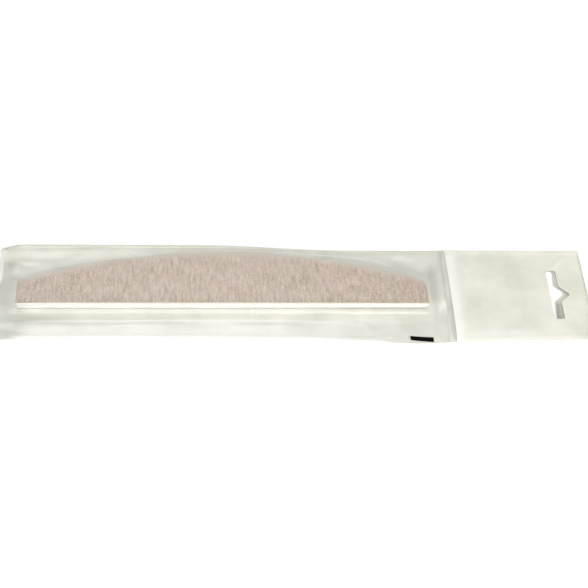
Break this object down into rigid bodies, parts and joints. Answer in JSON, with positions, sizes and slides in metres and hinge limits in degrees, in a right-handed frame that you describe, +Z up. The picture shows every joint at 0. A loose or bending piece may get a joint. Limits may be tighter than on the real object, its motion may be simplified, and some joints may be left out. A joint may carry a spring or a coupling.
{
  "type": "emery board",
  "caption": "Half-moon laminated emery board, abrasive on both faces over white foam, in a clear-fronted film sleeve with a white header and hang slot that pulls off along +X.",
  "frame": {"origin": "on the table under the sleeve's back film, below the middle of the board's straight edge", "axes": "+X along the board towards the sleeve's header, +Y across the board towards the crown of its arc, +Z up out of the board's upper abrasive face"},
  "size_m": [0.2584, 0.05, 0.0052],
  "materials": {
    "grit": "rough abrasive grain, fine streaks across the board",
    "backing_paper": "dull paper edge",
    "glue": "thin adhesive line",
    "foam": "fine closed-cell foam",
    "core": "smooth white plastic",
    "pearl_film": "pearly white film, soft gloss",
    "clear_film": "clear glossy film with soft wrinkles",
    "weld": "melted film, milky"
  },
  "bodies": {
    "board": {"upper_grit_coat": "grit", "upper_backing_paper": "backing_paper", "upper_glue_film": "glue", "upper_foam_pad": "foam", "upper_core_tape": "glue", "core_plate": "core", "lower_core_tape": "glue", "lower_foam_pad": "foam", "lower_glue_film": "glue", "lower_backing_paper": "backing_paper", "lower_grit_coat": "grit"},
    "sleeve": {"back_film": "pearl_film", "front_film": "clear_film", "header_film": "pearl_film", "header_weld": "weld", "near_side_weld": "weld", "far_side_weld": "weld"}
  },
  "joints": [
    {"name": "sleeve_slide", "type": "slide", "parent": "board", "child": "sleeve", "axis": [1, 0, 0], "range_m": [0, 0.195]}
  ]
}
